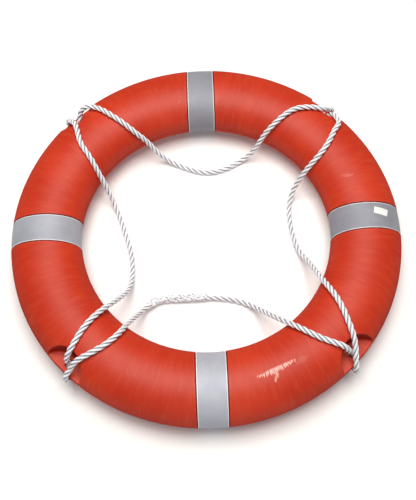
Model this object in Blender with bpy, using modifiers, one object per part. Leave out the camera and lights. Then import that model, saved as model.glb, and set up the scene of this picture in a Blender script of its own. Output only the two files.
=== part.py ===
# Life ring: two moulded half shells over a foam core, four reflective bands
# and one grab line hitched through four eyes and joined by a splice.
# The ring lies on its back, its axis along +Z, and stands on Z = 0.
# Metres throughout. Angles of bands and notches are counted from +X.

import math

import bmesh
import bpy
import numpy as np
from mathutils import Matrix, Vector

# Ring body
outer_radius = 0.355
section_width = 0.127
section_thickness = 0.098
shell_wall = 0.0035
seam_bead_height = 0.0006
seam_bead_width = 0.0026

# Rope notches, each a round pocket in the front and in the back
notch_radius = 0.0428
notch_centre_outside = 0.0095
notch_corner_radius = 0.004
notch_draft = 0.001
web_thickness = 0.014
eye_radius = 0.0075
eye_inset = 0.016
eye_wall = 0.0025

# Reflective bands
band_width = 0.050
band_thickness = 0.0005
land_depth = 0.0012
land_side_clearance = 0.001

# Filling and vent plugs in the back
plug_flange_radius = 0.0125
plug_flange_thickness = 0.0015
plug_stem_radius = 0.0085
plug_stem_length = 0.009
plug_recess_depth = 0.0024
plug_boss_wall = 0.003

# Grab line
rope_diameter = 0.010
splice_length = 0.124
splice_diameter = 0.015

# Clearance between pieces that touch
touch_gap = 0.0003

# Facets
ring_steps = 56
outer_arc_steps = 10
inner_arc_steps = 6
notch_steps = 28
corner_steps = 2
eye_steps = 16
plug_steps = 20
# The hollow's facets and the foam's lie half a step round from the outside's.
inner_turn = math.pi / ring_steps

band_angles = [math.radians(a) for a in (0, 90, 180, 270)]
notch_angles = [math.radians(a) for a in (45, 135, 225, 315)]
plug_angles = {"fill_plug": math.radians(67.5), "vent_plug": math.radians(247.5)}

# What follows from the sizes above
half_width = section_width / 2
half_thickness = section_thickness / 2
section_radius = outer_radius - half_width
mid_height = half_thickness
web_half = web_thickness / 2
rope_radius = rope_diameter / 2
land_width = band_width + 2 * land_side_clearance
clear_of_part = 0.02

# The grab line's route, counterclockwise from the notch at 45 degrees, in metres.
# Each loop lies over the front of the ring and sags to the floor inside it.
top_loop = [
    (0.218, 0.230, 0.1005), (0.200, 0.230, 0.103), (0.180, 0.227, 0.104),
    (0.145, 0.208, 0.0955), (0.127, 0.197, 0.0815), (0.111, 0.189, 0.053),
    (0.096, 0.182, 0.025), (0.076, 0.175, 0.009), (0.053, 0.163, 0.0055),
    (0.008, 0.152, 0.0055), (-0.039, 0.166, 0.0055), (-0.068, 0.179, 0.012),
    (-0.090, 0.187, 0.034), (-0.105, 0.194, 0.056), (-0.1225, 0.198, 0.080),
    (-0.152, 0.215, 0.0997), (-0.171, 0.228, 0.104), (-0.187, 0.240, 0.1035),
]
left_loop = [
    (-0.233, 0.192, 0.104), (-0.225, 0.166, 0.103), (-0.213, 0.147, 0.098),
    (-0.203, 0.131, 0.0875), (-0.193, 0.116, 0.065), (-0.184, 0.103, 0.042),
    (-0.175, 0.087, 0.018), (-0.166, 0.066, 0.007), (-0.157, 0.038, 0.0055),
    (-0.141, -0.022, 0.0055), (-0.139, -0.062, 0.008), (-0.143, -0.094, 0.024),
    (-0.155, -0.122, 0.053), (-0.171, -0.145, 0.079), (-0.194, -0.172, 0.0987),
    (-0.215, -0.201, 0.1035),
]
bottom_loop = [
    (-0.209, -0.241, 0.1005), (-0.191, -0.233, 0.1035), (-0.165, -0.216, 0.102),
    (-0.150, -0.199, 0.0935), (-0.140, -0.179, 0.074), (-0.130, -0.157, 0.046),
    (-0.117, -0.134, 0.019), (-0.097, -0.117, 0.0092), (-0.058, -0.111, 0.008),
    (-0.014, -0.111, 0.008), (0.025, -0.114, 0.006), (0.047, -0.118, 0.0055),
    (0.070, -0.127, 0.008), (0.091, -0.145, 0.026), (0.107, -0.164, 0.051),
    (0.124, -0.183, 0.0755), (0.149, -0.204, 0.0965), (0.188, -0.228, 0.1035),
]
right_loop = [
    (0.229, -0.195, 0.104), (0.217, -0.158, 0.1025), (0.206, -0.129, 0.088),
    (0.195, -0.092, 0.0585), (0.185, -0.0565, 0.029), (0.173, -0.027, 0.011),
    (0.164, 0.012, 0.0055), (0.161, 0.048, 0.0055), (0.163, 0.073, 0.007),
    (0.170, 0.094, 0.023), (0.182, 0.106, 0.048), (0.197, 0.116, 0.074),
    (0.213, 0.127, 0.092), (0.238, 0.158, 0.104), (0.250, 0.180, 0.103),
]

# Each notch has the line come in to the eye on one side and leave over the
# web's edge on the other. Points are across, outward from the ring's outer
# circle and above the mid-plane, as seen from the ring's centre.
hitch_in = {
    45: [(-0.044, -0.034, 0.050), (-0.032, -0.0265, 0.0480), (-0.0245, -0.0225, 0.0440),
         (-0.015, -0.020, 0.030), (-0.006, -0.018, 0.0175)],
    135: [(-0.034, -0.036, 0.0505), (-0.0245, -0.020, 0.0465), (-0.015, -0.0125, 0.0355),
          (-0.0055, -0.0135, 0.021)],
    225: [(-0.006, -0.045, 0.053), (-0.003, -0.033, 0.0505), (-0.002, -0.022, 0.040),
          (-0.0015, -0.0165, 0.025)],
    315: [(-0.0195, -0.042, 0.0525), (-0.016, -0.034, 0.0512), (-0.0125, -0.0265, 0.0445),
          (-0.0085, -0.0215, 0.031), (-0.0035, -0.018, 0.019)],
}
hitch_out = {
    45: [(-0.0035, -0.005, 0.0205), (-0.003, -0.017, 0.0345), (-0.002, -0.029, 0.0478)],
    135: [(0.0105, -0.0065, 0.0245), (0.0145, -0.021, 0.0405), (0.018, -0.034, 0.0512)],
    225: [(0.014, -0.009, 0.025), (0.0165, -0.022, 0.0427)],
    315: [(-0.0125, -0.001, 0.022), (0.0, -0.0155, 0.0375), (0.011, -0.032, 0.0505)],
}
# How far across from its eye the line turns round the web's edge, and how far
# it lies off that edge where it doesn't touch it.
edge_turn = {45: -0.004, 135: 0.009, 225: 0.013, 315: -0.0165}
edge_slack = {45: 0.0, 135: 0.001, 225: 0.0, 315: 0.002}
# Behind the web: share of the edge turn across, place outward from the eye's
# axis, and share of the full depth. The line reaches the edge at the last share.
behind_web = [(0.02, 0.002, 0.75), (0.2, 0.0085, 1.0), (0.62, 0.0125, 1.0)]
reaches_edge = 0.9
splice_middle = bottom_loop[8]

# The line's tubes: how far a straight step may cut a bend, and its shortest and longest
hitch_steps = {"sag": 0.0002, "shortest": 0.0035, "longest": 0.008}
span_steps = {"sag": 0.0012, "shortest": 0.024, "longest": 0.070}
splice_steps = {"sag": 0.0008, "shortest": 0.018, "longest": 0.020}
splice_taper = 0.16
straight_end = 0.0012
samples_round_loop = 12001
samples_along_tube = 500
least_self_gap_apart = 2.5 * rope_diameter


def clear_scene():
    for item in list(bpy.data.objects):
        bpy.data.objects.remove(item, do_unlink=True)


def new_collection(name):
    group = bpy.data.collections.new(name)
    bpy.context.scene.collection.children.link(group)
    return group


def new_material(name, colour, roughness, metallic=0.0):
    made = bpy.data.materials.new(name)
    made.use_nodes = True
    shader = made.node_tree.nodes["Principled BSDF"]
    shader.inputs["Base Color"].default_value = (*colour, 1.0)
    shader.inputs["Roughness"].default_value = roughness
    shader.inputs["Metallic"].default_value = metallic
    return made


def add_object(name, data, group, material=None):
    made = bpy.data.objects.new(name, data)
    group.objects.link(made)
    if material is not None:
        data.materials.append(material)
    if group is cutters:
        made.hide_render = True
        made.display_type = "WIRE"
    return made


# A closed or axis-to-axis outline (x, z) turned round Z by a Screw modifier.
# The outline runs top to bottom on its outer side.
def turned(name, outline, steps, group, material=None, closed=True):
    mesh = bpy.data.meshes.new(name)
    count = len(outline)
    edges = [(i, i + 1) for i in range(count - 1)]
    if closed:
        edges.append((count - 1, 0))
    mesh.from_pydata([(x, 0.0, z) for x, z in outline], edges, [])
    made = add_object(name, mesh, group, material)
    screw = made.modifiers.new("turn", "SCREW")
    screw.steps = steps
    screw.render_steps = steps
    screw.use_merge_vertices = True
    screw.merge_threshold = 0.00001
    screw.use_normal_calculate = False
    return made


def add_boolean(target, other, operation):
    cut = target.modifiers.new(f"{operation.lower()} {other.name}", "BOOLEAN")
    cut.object = other
    cut.operation = operation
    cut.solver = "EXACT"


# Several copies of one cutter joined in a single mesh, at a radius and angles.
def ring_of_cutters(name, outline, steps, radius, angles):
    single = turned(f"{name}_single", outline, steps, cutters, closed=False)
    bpy.context.view_layer.update()
    graph = bpy.context.evaluated_depsgraph_get()
    shape = bpy.data.meshes.new_from_object(single.evaluated_get(graph))
    joined = bmesh.new()
    half_step = math.pi / steps
    for angle in angles:
        start = len(joined.verts)
        joined.from_mesh(shape)
        joined.verts.ensure_lookup_table()
        copied = joined.verts[start:]
        facing = Matrix.Rotation(angle + half_step, 3, "Z")
        bmesh.ops.rotate(joined, verts=copied, cent=(0, 0, 0), matrix=facing)
        bmesh.ops.translate(joined, verts=copied, vec=polar(radius, angle))
    mesh = bpy.data.meshes.new(name)
    joined.to_mesh(mesh)
    joined.free()
    bpy.data.objects.remove(single, do_unlink=True)
    return add_object(name, mesh, cutters)


def polar(radius, angle, height=0.0):
    return Vector((radius * math.cos(angle), radius * math.sin(angle), height))


# The ring's section is an ellipse; inset shrinks both of its half axes.
def section_point(inset, turn):
    x = section_radius + (half_width - inset) * math.cos(turn)
    z = mid_height + (half_thickness - inset) * math.sin(turn)
    return (x, z)


def full_section(inset, count):
    return [section_point(inset, -2 * math.pi * i / count) for i in range(count)]


# Outline of one half of the ring, with the seam's raised bead at both edges.
def half_section(side):
    arc = [section_point(0.0, side * math.pi * i / outer_arc_steps) for i in range(1, outer_arc_steps)]
    seam = mid_height + side * touch_gap / 2
    bead_top = mid_height + side * seam_bead_width / 4
    bead_foot = mid_height + side * seam_bead_width / 2
    outer_edge = section_radius + half_width
    inner_edge = section_radius - half_width
    outer = [(outer_edge + seam_bead_height, seam), (outer_edge + seam_bead_height, bead_top),
             (outer_edge, bead_foot)]
    inner = [(inner_edge, bead_foot), (inner_edge - seam_bead_height, bead_top),
             (inner_edge - seam_bead_height, seam)]
    outline = outer + arc + inner
    return outline if side < 0 else outline[::-1]


# Outline of the hollow in one half, open past the seam.
def half_hollow(side):
    arc = [section_point(shell_wall, side * math.pi * i / inner_arc_steps) for i in range(inner_arc_steps + 1)]
    past_seam = mid_height - side * clear_of_part
    outline = [(arc[0][0], past_seam)] + arc + [(arc[-1][0], past_seam)]
    return outline if side < 0 else outline[::-1]


# Outline of a notch, from its axis out: a drafted wall and a rounded floor edge.
# Grow makes the same shape for the wall behind it and for the foam's clearance.
def notch_outline(side, grow):
    slope = notch_draft / (half_thickness - web_half)
    floor = web_half - grow
    top = half_thickness + clear_of_part
    corner = notch_corner_radius + grow
    floor_radius = notch_radius + grow - slope * (half_thickness - floor)
    top_radius = notch_radius + grow + slope * clear_of_part
    outline = [(0.0, top), (top_radius, top)]
    for i in range(corner_steps + 1):
        turn = math.pi / 2 * i / corner_steps
        outline.append((floor_radius - corner + corner * math.cos(turn),
                        floor + corner - corner * math.sin(turn)))
    outline.append((0.0, floor))
    outline = [(x, mid_height + side * height) for x, height in outline]
    return outline if side > 0 else outline[::-1]


def cylinder_outline(radius, low, high):
    return [(0.0, high), (radius, high), (radius, low), (0.0, low)]


# The eye's bore opens out at both faces of the web so that the line bends round it.
def eye_outline():
    flare = eye_wall / 2
    top = half_thickness + clear_of_part
    outline = [(0.0, top), (eye_radius + flare, top), (eye_radius + flare, web_half),
               (eye_radius, web_half - flare), (eye_radius, flare - web_half),
               (eye_radius + flare, -web_half), (eye_radius + flare, -top), (0.0, -top)]
    return [(x, mid_height + height) for x, height in outline]


def notch_cutters(name, side, grow):
    radius = outer_radius + notch_centre_outside
    return ring_of_cutters(name, notch_outline(side, grow), notch_steps, radius, notch_angles)


def eye_cutters(name, outline):
    return ring_of_cutters(name, outline, eye_steps, outer_radius - eye_inset, notch_angles)


def plug_cutters(name, outline):
    return ring_of_cutters(name, outline, plug_steps, section_radius, plug_angles.values())


# A block that spans the ring's section at one band, as wide as given.
def band_block(name, width, angle, group, material=None):
    reach = section_width + 2 * clear_of_part
    height = section_thickness + 2 * clear_of_part
    bpy.ops.mesh.primitive_cube_add(size=1.0)
    block = bpy.context.active_object
    block.name = name
    block.data.name = name
    block.data.transform(Matrix.Diagonal((reach, width, height, 1.0)))
    block.location = polar(section_radius, angle, mid_height)
    block.rotation_euler = (0.0, 0.0, angle)
    for holder in list(block.users_collection):
        holder.objects.unlink(block)
    group.objects.link(block)
    if group is cutters:
        block.hide_render = True
        block.display_type = "WIRE"
    if material is not None:
        block.data.materials.append(material)
    return block


def build_half_shell(name, side, material, shared):
    hollow = turned(f"{name}_hollow", half_hollow(side), ring_steps, cutters)
    hollow.rotation_euler.z = inner_turn
    add_boolean(hollow, notch_cutters(f"{name}_notch_walls", side, shell_wall), "DIFFERENCE")
    add_boolean(hollow, shared["eye_bosses"], "DIFFERENCE")
    shell = turned(name, half_section(side), ring_steps, parts, material)
    if side < 0:
        add_boolean(hollow, shared["plug_bosses"], "DIFFERENCE")
    add_boolean(shell, notch_cutters(f"{name}_notches", side, 0.0), "DIFFERENCE")
    add_boolean(shell, hollow, "DIFFERENCE")
    add_boolean(shell, shared["eyes"], "DIFFERENCE")
    for land in shared["lands"]:
        add_boolean(shell, land, "DIFFERENCE")
    if side < 0:
        add_boolean(shell, shared["plug_holes"], "DIFFERENCE")
    return shell


def build_foam_core(material, shared):
    inset = shell_wall + touch_gap
    foam = turned("foam_core", full_section(inset, 2 * inner_arc_steps), ring_steps, parts, material)
    foam.rotation_euler.z = inner_turn
    for side, face in ((1, "front"), (-1, "rear")):
        add_boolean(foam, notch_cutters(f"foam_{face}_notches", side, inset), "DIFFERENCE")
    add_boolean(foam, shared["foam_eyes"], "DIFFERENCE")
    add_boolean(foam, shared["foam_plug_room"], "DIFFERENCE")
    return foam


def build_bands(material):
    outer = turned("band_outside", full_section(land_depth - touch_gap - band_thickness,
                   2 * outer_arc_steps), ring_steps, cutters)
    inner = turned("band_inside", full_section(land_depth - touch_gap, 2 * outer_arc_steps),
                   ring_steps, cutters)
    names = ("right_band", "top_band", "left_band", "bottom_band")
    for name, angle in zip(names, band_angles):
        band = band_block(name, band_width, angle, parts, material)
        add_boolean(band, outer, "INTERSECT")
        add_boolean(band, inner, "DIFFERENCE")


def build_plugs(material):
    seat = plug_recess_depth - touch_gap
    face = seat - plug_flange_thickness
    edge = plug_flange_thickness / 3
    tip = seat + plug_stem_length
    outline = [(0.0, tip), (plug_stem_radius - edge, tip), (plug_stem_radius, tip - edge),
               (plug_stem_radius, seat), (plug_flange_radius, seat), (plug_flange_radius, face + edge),
               (plug_flange_radius - edge, face), (0.0, face)]
    for name, angle in plug_angles.items():
        plug = turned(name, outline, plug_steps, parts, material, closed=False)
        plug.location = polar(section_radius, angle)


def shared_cutters():
    top = mid_height + half_thickness + clear_of_part
    boss_top = plug_recess_depth + plug_boss_wall
    stem_tip = plug_recess_depth + plug_stem_length
    stem_room = plug_stem_radius + touch_gap
    flange_room = plug_flange_radius + touch_gap
    boss_radius = flange_room + plug_boss_wall
    boss = eye_radius + eye_wall
    below = -clear_of_part
    plug_hole = [(0.0, stem_tip), (stem_room, stem_tip), (stem_room, plug_recess_depth),
                 (flange_room, plug_recess_depth), (flange_room, below), (0.0, below)]
    foam_hole = [(0.0, stem_tip), (stem_room, stem_tip), (stem_room, boss_top + touch_gap),
                 (boss_radius + touch_gap, boss_top + touch_gap), (boss_radius + touch_gap, below),
                 (0.0, below)]
    land = turned("land_surface", full_section(land_depth, 2 * outer_arc_steps), ring_steps, cutters)
    lands = []
    for number, angle in enumerate(band_angles):
        block = band_block(f"land_{number}", land_width, angle, cutters)
        add_boolean(block, land, "DIFFERENCE")
        lands.append(block)
    return {
        "eyes": eye_cutters("eyes", eye_outline()),
        "eye_bosses": eye_cutters("eye_bosses", cylinder_outline(boss, below, top)),
        "foam_eyes": eye_cutters("foam_eyes", cylinder_outline(boss + touch_gap, below, top)),
        "plug_holes": plug_cutters("plug_holes", plug_hole),
        "plug_bosses": plug_cutters("plug_bosses", cylinder_outline(boss_radius, below, boss_top)),
        "foam_plug_room": plug_cutters("foam_plug_room", foam_hole),
        "lands": lands,
    }


# A point beside a notch: across it, outward from the outer circle, above mid-plane.
def at_notch(angle, across, outward, above):
    out = polar(1.0, angle)
    side = Vector((-out.y, out.x, 0.0))
    place = out * (outer_radius + outward) + side * across
    return (place.x, place.y, mid_height + above)


# The line from the eye, behind the web and round its outer edge.
def hitch_back(angle, turn, slack):
    lay_off = web_half + rope_radius + touch_gap
    past_edge = seam_bead_height + rope_radius + touch_gap + slack
    round_corner = (rope_radius + 2 * touch_gap) * math.sqrt(0.5)
    past_corner = round_corner - touch_gap + slack
    spots = [(0.0, -eye_inset, lay_off), (0.0, -eye_inset, 0.0)]
    for share, outward, depth in behind_web:
        spots.append((share * turn, outward - eye_inset, -depth * (lay_off + touch_gap)))
    spots += [
        (reaches_edge * turn, past_corner, -web_half - round_corner),
        (turn, past_edge, 0.0),
        (turn, past_corner, web_half + round_corner),
    ]
    return [at_notch(angle, *spot) for spot in spots]


# The whole route, and the places in it where each hitch's tube begins and ends,
# midway between two points.
def rope_route():
    route = []
    hitches = {}
    loops = {45: top_loop, 135: left_loop, 225: bottom_loop, 315: right_loop}
    names = {45: "top_right", 135: "top_left", 225: "bottom_left", 315: "bottom_right"}
    for degrees, loop in loops.items():
        angle = math.radians(degrees)
        before = [at_notch(angle, *spot) for spot in hitch_in[degrees]]
        after = [at_notch(angle, *spot) for spot in hitch_out[degrees]]
        back = hitch_back(angle, edge_turn[degrees], edge_slack[degrees])
        begin = len(route) + len(before) - 1.5
        finish = len(route) + len(before) + len(back) + 0.5
        hitches[names[degrees]] = (begin, finish)
        route += before + back + after + loop
    return np.array(route), hitches


# A smooth closed curve through the route: a periodic cubic spline over chord length.
class SmoothLoop:
    def __init__(self, points):
        self.points = points
        self.count = len(points)
        self.chords = np.linalg.norm(np.roll(points, -1, axis=0) - points, axis=1)
        self.knots = np.concatenate(([0.0], np.cumsum(self.chords)))
        before = np.roll(self.chords, 1)
        slopes = (np.roll(points, -1, axis=0) - points) / self.chords[:, None]
        matrix = np.zeros((self.count, self.count))
        rows = np.arange(self.count)
        matrix[rows, rows] = 2 * (before + self.chords)
        matrix[rows, (rows - 1) % self.count] = before
        matrix[rows, (rows + 1) % self.count] = self.chords
        self.bends = np.linalg.solve(matrix, 6 * (slopes - np.roll(slopes, 1, axis=0)))
        fine = np.linspace(0.0, self.knots[-1], samples_round_loop)
        steps = np.linalg.norm(np.diff(self.at_knot(fine), axis=0), axis=1)
        self.fine = fine
        self.travel = np.concatenate(([0.0], np.cumsum(steps)))
        self.length = self.travel[-1]

    def at_knot(self, values):
        values = np.mod(values, self.knots[-1])
        index = np.clip(np.searchsorted(self.knots, values, side="right") - 1, 0, self.count - 1)
        after = (index + 1) % self.count
        chord = self.chords[index][:, None]
        right = (values - self.knots[index])[:, None]
        left = chord - right
        bend_here, bend_after = self.bends[index], self.bends[after]
        curved = (bend_here * left**3 + bend_after * right**3) / (6 * chord)
        straight_here = (self.points[index] / chord - bend_here * chord / 6) * left
        straight_after = (self.points[after] / chord - bend_after * chord / 6) * right
        return curved + straight_here + straight_after

    def at_length(self, lengths):
        wrapped = np.mod(lengths, self.length)
        return self.at_knot(np.interp(wrapped, self.travel, self.fine))

    def bend_at(self, lengths):
        reach = rope_radius / 2
        before = self.at_length(lengths - reach)
        here = self.at_length(lengths)
        after = self.at_length(lengths + reach)
        return np.linalg.norm(before - 2 * here + after, axis=1) / reach**2

    # Length along the loop at a place in the route; 4.5 is midway from point 4 to 5.
    def length_at(self, place):
        whole = int(place)
        knot = self.knots[whole] + (place - whole) * self.chords[whole]
        return float(np.interp(knot, self.fine, self.travel))


# Lengths for a tube's points: closer where the line bends more, and with a
# short straight piece at both ends.
def tube_lengths(loop, start, end, sag, shortest, longest):
    first, last = start + touch_gap / 2, end - touch_gap / 2
    fine = np.linspace(first, last, samples_along_tube)
    bend = np.maximum(loop.bend_at(fine), 8 * sag / longest**2)
    step = np.maximum(np.sqrt(8 * sag / bend), shortest)
    per_length = 1.0 / step
    passed = np.concatenate(([0.0], np.cumsum((per_length[1:] + per_length[:-1]) / 2 * np.diff(fine))))
    count = max(3, math.ceil(passed[-1]))
    inside = np.interp(np.linspace(0.0, passed[-1], count + 1)[1:-1], passed, fine)
    return np.concatenate(([first, first + straight_end], inside, [last - straight_end, last]))


# The tube's points lie outside a bend, so that its straight pieces touch the line
# midway and cut no corner. None goes below where the line lies on the floor.
def tube_points(loop, lengths):
    points = loop.at_length(lengths)
    bends = points[1:-3] - 2 * points[2:-2] + points[3:-1]
    points[2:-2] -= bends / 8
    points[:, 2] = np.maximum(points[:, 2], rope_radius + touch_gap)
    return points


def build_tube(name, points, material, swelling=None):
    curve = bpy.data.curves.new(name, "CURVE")
    curve.dimensions = "3D"
    curve.bevel_depth = rope_radius
    curve.bevel_resolution = 2
    curve.use_fill_caps = True
    line = curve.splines.new("POLY")
    line.points.add(len(points) - 1)
    for number, place in enumerate(points):
        line.points[number].co = (*place, 1.0)
        line.points[number].radius = 1.0 if swelling is None else swelling[number]
    return add_object(name, curve, parts, material)


# The least gap between stretches of one tube that lie apart along it.
def least_gap(points, lengths, apart):
    distances = np.linalg.norm(points[:, None] - points[None, :], axis=2)
    far = np.abs(lengths[:, None] - lengths[None, :]) > apart
    return float(distances[far].min()) - rope_diameter


def build_grab_line(material):
    route, hitches = rope_route()
    loop = SmoothLoop(route)
    hitch_ends = {}
    for name, (from_place, to_place) in hitches.items():
        begin = loop.length_at(from_place)
        finish = loop.length_at(to_place)
        hitch_ends[name] = (begin, finish)
        lengths = tube_lengths(loop, begin, finish, **hitch_steps)
        build_tube(f"hitch_{name}", tube_points(loop, lengths), material)
        close = np.linspace(begin, finish, samples_along_tube)
        gap = least_gap(loop.at_length(close), close, least_self_gap_apart)
        print(f"hitch_{name}: least gap to itself {gap * 1000:.2f} mm")
    order = list(hitch_ends)
    for number, span in enumerate(("top", "left", "bottom", "right")):
        begin = hitch_ends[order[number]][1]
        finish = hitch_ends[order[(number + 1) % len(order)]][0]
        if finish < begin:
            finish += loop.length
        if span == "bottom":
            middle = loop.length_at(route_place(route, splice_middle))
            low, high = middle - splice_length / 2, middle + splice_length / 2
            build_splice(loop, low, high, material)
            pieces = (("grab_line_bottom_left", begin, low), ("grab_line_bottom_right", high, finish))
        else:
            pieces = ((f"grab_line_{span}", begin, finish),)
        for name, low, high in pieces:
            lengths = tube_lengths(loop, low, high, **span_steps)
            build_tube(name, tube_points(loop, lengths), material)
    print(f"grab line: {loop.length:.3f} m round the ring")


def build_splice(loop, low, high, material):
    lengths = tube_lengths(loop, low, high, **splice_steps)
    share = (lengths - low) / (high - low)
    swell = splice_diameter / rope_diameter - 1.0
    taper = np.clip(np.minimum(share, 1.0 - share) / splice_taper, 0.0, 1.0)
    swelling = 1.0 + swell * taper * taper * (3.0 - 2.0 * taper)
    build_tube("rope_splice", tube_points(loop, lengths), material, swelling)


def route_place(route, point):
    return int(np.argmin(np.linalg.norm(route - np.array(point), axis=1)))


clear_scene()
parts = new_collection("life_ring")
cutters = new_collection("cutters")
orange = new_material("orange_shell", (0.80, 0.085, 0.03), 0.42)
orange_back = new_material("orange_rear_shell", (0.76, 0.08, 0.03), 0.45)
cream = new_material("foam", (0.86, 0.78, 0.55), 0.95)
silver = new_material("reflective_band", (0.42, 0.44, 0.47), 0.5)
plug_orange = new_material("plug", (0.72, 0.07, 0.03), 0.5)
rope_white = new_material("rope", (0.86, 0.86, 0.85), 0.7)

shared = shared_cutters()
front = build_half_shell("front_shell", 1, orange, shared)
rear = build_half_shell("rear_shell", -1, orange_back, shared)
core = build_foam_core(cream, shared)
build_bands(silver)
build_plugs(plug_orange)
build_grab_line(rope_white)
bpy.context.view_layer.update()
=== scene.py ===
import math

import bmesh
import bpy
import numpy as np
from mathutils import Matrix, Vector


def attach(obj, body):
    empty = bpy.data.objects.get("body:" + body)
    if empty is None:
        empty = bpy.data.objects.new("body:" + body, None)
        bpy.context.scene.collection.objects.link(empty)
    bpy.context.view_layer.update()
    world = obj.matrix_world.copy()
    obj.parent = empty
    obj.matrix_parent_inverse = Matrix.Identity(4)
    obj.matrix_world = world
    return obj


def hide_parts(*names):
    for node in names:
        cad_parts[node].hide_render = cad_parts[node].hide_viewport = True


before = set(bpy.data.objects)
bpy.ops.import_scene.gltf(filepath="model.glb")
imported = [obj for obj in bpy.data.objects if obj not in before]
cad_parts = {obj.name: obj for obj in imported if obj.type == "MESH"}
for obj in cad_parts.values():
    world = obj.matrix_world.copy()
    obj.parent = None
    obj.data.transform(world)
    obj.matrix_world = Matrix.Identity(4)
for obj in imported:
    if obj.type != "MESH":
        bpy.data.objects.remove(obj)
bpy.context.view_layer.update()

# A foam-filled life ring that lies flat, with its grab line over the front.
# Metres, +Z up, the floor at zero. Turns are in radians unless a name says degrees.

# The ring's own sizes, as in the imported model.
ring = {
    "radius": 0.2915,
    "outerRadius": 0.355,
    "halfWidth": 0.0635,
    "halfThickness": 0.049,
    "sectionRadius": 0.056,
    "middle": 0.049,
    "wall": 0.0035,
    "seamGap": 0.0003,
    "beadHalfWidth": 0.0013,
    "beadHeight": 0.0006,
}


def addObject(name, data):
    thing = bpy.data.objects.new(name, data)
    bpy.context.scene.collection.objects.link(thing)
    return thing


# Camera: fitted to the photograph from the ring's outlines.
view = {
    "lens": 52.77,
    "distance": 1.3455,
    "elevationDegrees": 64.4028,
    "turnDegrees": -0.3893,
    "rollDegrees": -1.5734,
    "aim": (0.0027, -0.0352, 0.049),
}


# The camera stands back from the ring's middle by its distance, turned up by its
# elevation, and looks at its aim; both are turned together about Z. Its axes are to
# the right, above and back, turned about the last by the roll.
def placeCamera():
    up = math.radians(view["elevationDegrees"])
    turn = Matrix.Rotation(math.radians(view["turnDegrees"]), 3, "Z")
    back = Vector((0.0, -math.cos(up), math.sin(up))) * view["distance"]
    place = turn @ (back + Vector((0.0, 0.0, ring["middle"])))
    forward = (turn @ Vector(view["aim"]) - place).normalized()
    right = forward.cross(Vector((0.0, 0.0, 1.0))).normalized()
    axes = Matrix((right, right.cross(forward), -forward)).transposed()
    roll = Matrix.Rotation(math.radians(view["rollDegrees"]), 3, "Z")
    lens = bpy.data.cameras.new("camera")
    lens.lens = view["lens"]
    lens.sensor_width = 36.0
    lens.clip_start = 0.01
    camera = addObject("camera", lens)
    camera.matrix_world = Matrix.Translation(place) @ (axes @ roll).to_4x4()
    bpy.context.scene.camera = camera


placeCamera()
print("camera placed")


# Clamped smooth step: three times the square less twice the cube.
def smoothStep(value):
    share = np.clip(value, 0.0, 1.0)
    return share * share * (3.0 - 2.0 * share)


# Points from their three coordinates, each a number or an array, spread over a grid.
def places(x, y, z):
    return np.stack(np.broadcast_arrays(x, y, z), axis=-1)


# Quads between neighbouring points of a grid; keep marks the cells that stay.
def gridQuads(rows, columns, start, keep=None):
    index = start + np.arange(rows * columns).reshape(rows, columns)
    quads = np.stack([index[:-1, :-1], index[1:, :-1], index[1:, 1:], index[:-1, 1:]], axis=-1)
    return quads.reshape(-1, 4) if keep is None else quads[keep]


# One closed piece from several grids of points that meet: points at one place are
# merged, and faces are turned outwards. Each grid may carry a uv map, and a mark per
# point for its finish: on the shells rubbed pale wear above zero, with a painted
# highlight beside the bands, and painted shade below zero; on the rope painted shade
# in the grooves.
def makePiece(name, sheets, merge=0.000002):
    start = 0
    points, quads, wearShadeAndGlint, uv = [], [], [], []
    for sheet in sheets:
        place = sheet["points"]
        rows, columns = place.shape[:2]
        points.append(place.reshape(-1, 3))
        quads.append(gridQuads(rows, columns, start, sheet.get("keep")))
        wearShadeAndGlint.append(np.broadcast_to(sheet.get("wearShadeAndGlint", 0.0), (rows, columns)).ravel())
        uv.append(np.broadcast_to(sheet.get("uv", (0.0, 0.0)), (rows, columns, 2)).reshape(-1, 2))
        start += rows * columns
    mesh = bpy.data.meshes.new(name)
    mesh.from_pydata(np.concatenate(points), [], np.concatenate(quads).tolist())
    mesh.attributes.new("wearShadeAndGlint", "FLOAT", "POINT").data.foreach_set(
        "value", np.concatenate(wearShadeAndGlint).astype(np.float32))
    corners = np.zeros(len(mesh.loops), np.int32)
    mesh.loops.foreach_get("vertex_index", corners)
    cornerUv = np.concatenate(uv)[corners].astype(np.float32)
    mesh.uv_layers.new(name="map").data.foreach_set("uv", cornerUv.ravel())
    work = bmesh.new()
    work.from_mesh(mesh)
    bmesh.ops.remove_doubles(work, verts=work.verts, dist=merge)
    loose = [vert for vert in work.verts if not vert.link_faces]
    bmesh.ops.delete(work, geom=loose, context="VERTS")
    bmesh.ops.recalc_face_normals(work, faces=work.faces)
    openEdges = sum(1 for edge in work.edges if len(edge.link_faces) != 2)
    work.to_mesh(mesh)
    work.free()
    mesh.shade_smooth()
    piece = addObject(name, mesh)
    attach(piece, "root")
    print(f"{name}: {len(mesh.polygons)} faces, {openEdges} open edges")
    return piece


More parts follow.
